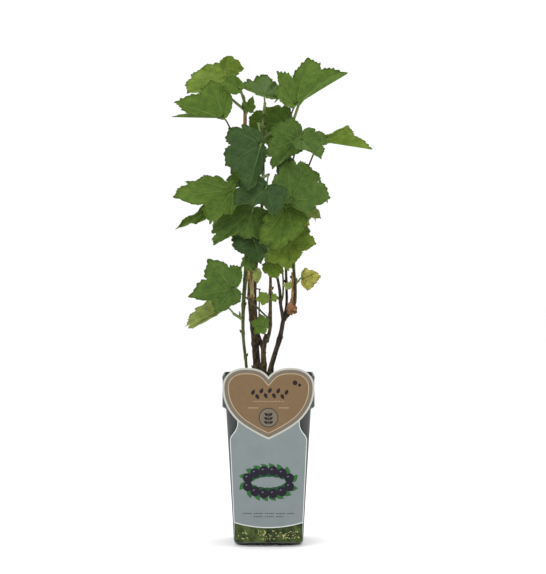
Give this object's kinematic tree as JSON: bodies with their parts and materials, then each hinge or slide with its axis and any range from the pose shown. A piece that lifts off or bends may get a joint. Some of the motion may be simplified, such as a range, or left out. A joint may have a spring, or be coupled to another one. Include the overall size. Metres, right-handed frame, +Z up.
{
  "type": "potted blackcurrant bush",
  "caption": "Young blackcurrant bush with bare canes and lobed leaves in a square nursery pot with a plain picture card.",
  "frame": {"origin": "middle of the pot's flat underside, on the ground", "axes": "+Z straight up along the pot; the card hangs on the -Y side; +X to the right as seen from the card's side"},
  "size_m": [0.2216, 0.1586, 0.5354],
  "materials": {
    "pot": "satin moulded plastic",
    "compost": "rough and crumbly",
    "label_card": "coated print",
    "old_wood": "ridged bark",
    "young_wood": "smooth young bark",
    "foliage": "matt leaf"
  },
  "bodies": {
    "root": {"pot": "pot", "compost": "compost", "label_card": "label_card", "cane_old": "old_wood", "cane_middle": "old_wood", "cane_right": "old_wood", "bough_middle_left": "old_wood", "bough_middle_right": "old_wood", "bough_right_outer": "old_wood", "bough_right_inner": "old_wood", "bough_right_middle": "old_wood", "shoot_right_red": "old_wood", "cane_left": "young_wood", "shoot_right_green": "young_wood", "leaves_top_left": "foliage", "leaves_left_high": "foliage", "leaves_top_middle": "foliage", "leaves_top_right": "foliage", "leaves_centre_behind": "foliage", "leaves_right_inner": "foliage", "leaves_right_behind": "foliage", "leaves_left_behind": "foliage", "sprig_top": "foliage", "leaves_right_far": "foliage", "leaves_centre_front": "foliage", "leaves_centre": "foliage", "leaves_right": "foliage", "leaves_left": "foliage", "leaves_low_middle": "foliage", "leaves_low_dark": "foliage", "leaves_low_right": "foliage", "leaves_low_hanging": "foliage", "leaves_low_left": "foliage", "sprig_low": "foliage", "sprig_middle_left": "foliage", "sprig_middle_right": "foliage", "sprig_pale_leaf": "foliage", "sprig_dead_leaf": "foliage", "sprig_tiny_leaf": "foliage", "leaves_lowest_left": "foliage", "leaves_back_low": "foliage", "leaves_back_left": "foliage", "leaves_back_right": "foliage", "leaves_back_high": "foliage", "leaves_back_top_left": "foliage", "leaves_back_top_right": "foliage"}
  },
  "joints": []
}
